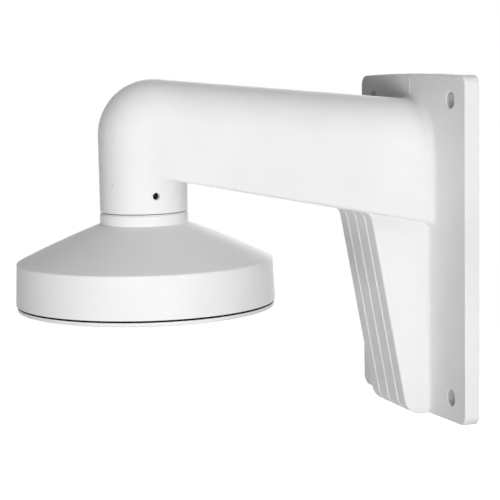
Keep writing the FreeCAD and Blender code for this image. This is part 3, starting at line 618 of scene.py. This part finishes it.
class BRACKET_OT_stage(bpy.types.Operator):
    """Sets the floor, the room's light, the three soft lamps and the camera"""
    bl_idname = "bracket.stage"
    bl_label = "Stage, light and camera"

    def execute(self, context):
        stage = settings("stage")
        self.floor(stage)
        self.room(stage)
        self.lamps(stage)
        self.camera(stage)
        context.scene.view_settings.view_transform = "Standard"
        return {"FINISHED"}

    def floor(self, stage):
        side = np.linspace(-FLOOR_HALF, FLOOR_HALF, FLOOR_POINTS)
        x, y = np.meshgrid(side, side, indexing="ij")
        points = np.stack([x, y, np.full_like(x, stage.floor_level)], axis=-1).reshape(-1, 3)
        index = np.arange(FLOOR_POINTS ** 2).reshape(FLOOR_POINTS, FLOOR_POINTS)
        quads = np.stack([index[:-1, :-1], index[1:, :-1], index[1:, 1:], index[:-1, 1:]],
                         axis=-1)
        mesh = bpy.data.meshes.new("floor")
        mesh.from_pydata(points.tolist(), [], quads.reshape(-1, 4).tolist())
        mesh.update()
        material = bpy.data.materials.new("pale_floor")
        material.use_nodes = True
        tree = material.node_tree
        tree.nodes.clear()
        add = node_adder(tree)
        place = add("TexCoord")
        clouds = add("TexNoise", {"Vector": (place, "Object"), "Scale": 6.0})
        tone = mix(add, (clouds, "Fac"), stage.floor_colour,
                   tuple(0.99 * c for c in stage.floor_colour))
        matt = add("BsdfDiffuse", {"Color": (tone, 2)})
        flat = add("VectorMath", {0: (place, "Object"), 1: (1.0, 1.0, 0.0)},
                   operation="MULTIPLY")
        away = add("VectorMath", {0: (flat, "Vector")}, operation="LENGTH")
        lift = ramp(add, away, "Value", *LIFT_DISTANCES, stage.floor_lift_near,
                    stage.floor_lift_far)
        strength = add("Math", {0: (lift, "Result"), 1: (self.seen(add), "Value")},
                       operation="MULTIPLY")
        glow = add("Emission", {"Strength": (strength, "Value")})
        both = add("AddShader", {0: (matt, 0), 1: (glow, 0)})
        facing = add("NewGeometry")
        clear = add("BsdfTransparent")
        sides = add("MixShader", {0: (facing, "Backfacing"), 1: (both, 0), 2: (clear, 0)})
        add("OutputMaterial", {"Surface": (sides, 0)})
        mesh.materials.append(material)
        floor = bpy.data.objects.new("floor", mesh)
        bpy.context.scene.collection.objects.link(floor)

    # 1 for what the camera sees itself, or in or through metal and glass
    def seen(self, add):
        rays = add("LightPath")
        straight = add("Math", {0: (rays, "Is Camera Ray"), 1: (rays, "Is Glossy Ray")},
                       operation="MAXIMUM")
        return add("Math", {0: (straight, "Value"), 1: (rays, "Is Transmission Ray")},
                   operation="MAXIMUM")

    # The room is white where it is seen. Its light is dim, and paler towards one side
    def room(self, stage):
        world = bpy.data.worlds.new("room")
        bpy.context.scene.world = world
        world.use_nodes = True
        tree = world.node_tree
        tree.nodes.clear()
        add = node_adder(tree)
        place = add("TexCoord")
        side = tuple(stage.room_side)
        towards = add("VectorMath", {0: (place, "Generated"), 1: side}, operation="DOT_PRODUCT")
        level = ramp(add, towards, "Value", -0.2, 1.0, stage.room_dim, stage.room_light)
        light = add("Background", {"Color": (*stage.room_tint, 1.0),
                                   "Strength": (level, "Result")})
        white = add("Background", {"Color": (1.0, 1.0, 1.0, 1.0), "Strength": 1.0})
        choose = add("MixShader", {0: (self.seen(add), "Value"), 1: (light, 0), 2: (white, 0)})
        add("OutputWorld", {"Surface": (choose, 0)})

    def lamps(self, stage):
        self.lamp("key_lamp", stage.key_power, stage.key_tint,
                  (stage.key_width, stage.key_height),
                  stage.key_distance, stage.key_turn, stage.key_rise)
        self.lamp("top_lamp", stage.top_power, stage.top_tint,
                  (stage.top_size, stage.top_size),
                  stage.top_distance, stage.top_turn, stage.top_rise)
        self.lamp("back_lamp", stage.back_power, stage.top_tint,
                  (stage.top_size, stage.top_size),
                  stage.top_distance, stage.back_turn, stage.back_rise)

    # An area lamp that faces the middle of the bracket from a turn and a rise
    def lamp(self, name, power, tint, size, distance, turn, rise):
        out = Vector((math.sin(turn) * math.cos(rise), -math.cos(turn) * math.cos(rise),
                      math.sin(rise)))
        light = bpy.data.lights.new(name, "AREA")
        light.energy = power
        light.color = tint
        light.shape = "RECTANGLE"
        light.size, light.size_y = size
        lamp = bpy.data.objects.new(name, light)
        lamp.location = LAMP_AIM + out * distance
        lamp.rotation_euler = (-out).to_track_quat("-Z", "Y").to_euler()
        lamp.visible_camera = False
        bpy.context.scene.collection.objects.link(lamp)

    def camera(self, stage):
        turn, drop, roll = stage.camera_turn, stage.camera_drop, stage.camera_roll
        ahead = Vector((-math.sin(turn) * math.cos(drop), math.cos(turn) * math.cos(drop),
                        -math.sin(drop)))
        right = ahead.cross(Vector((0, 0, 1))).normalized()
        up = right.cross(ahead)
        rolled_right = right * math.cos(roll) - up * math.sin(roll)
        rolled_up = right * math.sin(roll) + up * math.cos(roll)
        axes = Matrix((rolled_right, rolled_up, -ahead)).transposed().to_4x4()
        data = bpy.data.cameras.new("photo_camera")
        data.sensor_width = SENSOR_WIDTH
        data.lens = stage.lens
        data.clip_start, data.clip_end = 0.01, 50.0
        camera = bpy.data.objects.new("photo_camera", data)
        camera.matrix_world = Matrix.Translation(Vector(stage.camera_place)) @ axes
        bpy.context.scene.collection.objects.link(camera)
        bpy.context.scene.camera = camera


class BRACKET_PT_panel(bpy.types.Panel):
    """Lists the bracket's pieces and their settings"""
    bl_idname = "BRACKET_PT_panel"
    bl_label = "Wall bracket"
    bl_space_type = "VIEW_3D"
    bl_region_type = "UI"
    bl_category = "Wall bracket"

    def draw(self, context):
        for group, operators in PANEL_ROWS:
            box = self.layout.box()
            values = settings(group)
            for name in values.__annotations__:
                box.prop(values, name)
            for operator in operators:
                box.operator(operator)


PANEL_ROWS = (
    ("paint", ("bracket.casting", "bracket.cap")),
    ("seals", ("bracket.seals",)),
    ("screws", ("bracket.closing_screws", "bracket.lock_screw")),
    ("stage", ("bracket.stage",)),
)
GROUPS = {
    "paint": BracketPaintSettings,
    "seals": BracketSealSettings,
    "screws": BracketScrewSettings,
    "stage": BracketStageSettings,
}
CLASSES = (
    *GROUPS.values(),
    BRACKET_OT_casting,
    BRACKET_OT_cap,
    BRACKET_OT_seals,
    BRACKET_OT_closing_screws,
    BRACKET_OT_lock_screw,
    BRACKET_OT_stage,
    BRACKET_PT_panel,
)


def register():
    for cls in CLASSES:
        bpy.utils.register_class(cls)
    for name, group in GROUPS.items():
        setattr(bpy.types.Scene, "bracket_" + name, bpy.props.PointerProperty(type=group))


def unregister():
    for name in GROUPS:
        delattr(bpy.types.Scene, "bracket_" + name)
    for cls in reversed(CLASSES):
        bpy.utils.unregister_class(cls)


def main():
    register()
    bpy.ops.bracket.casting()
    bpy.ops.bracket.cap()
    bpy.ops.bracket.seals()
    bpy.ops.bracket.closing_screws()
    bpy.ops.bracket.lock_screw()
    bpy.ops.bracket.stage()


if __name__ == "__main__":
    main()
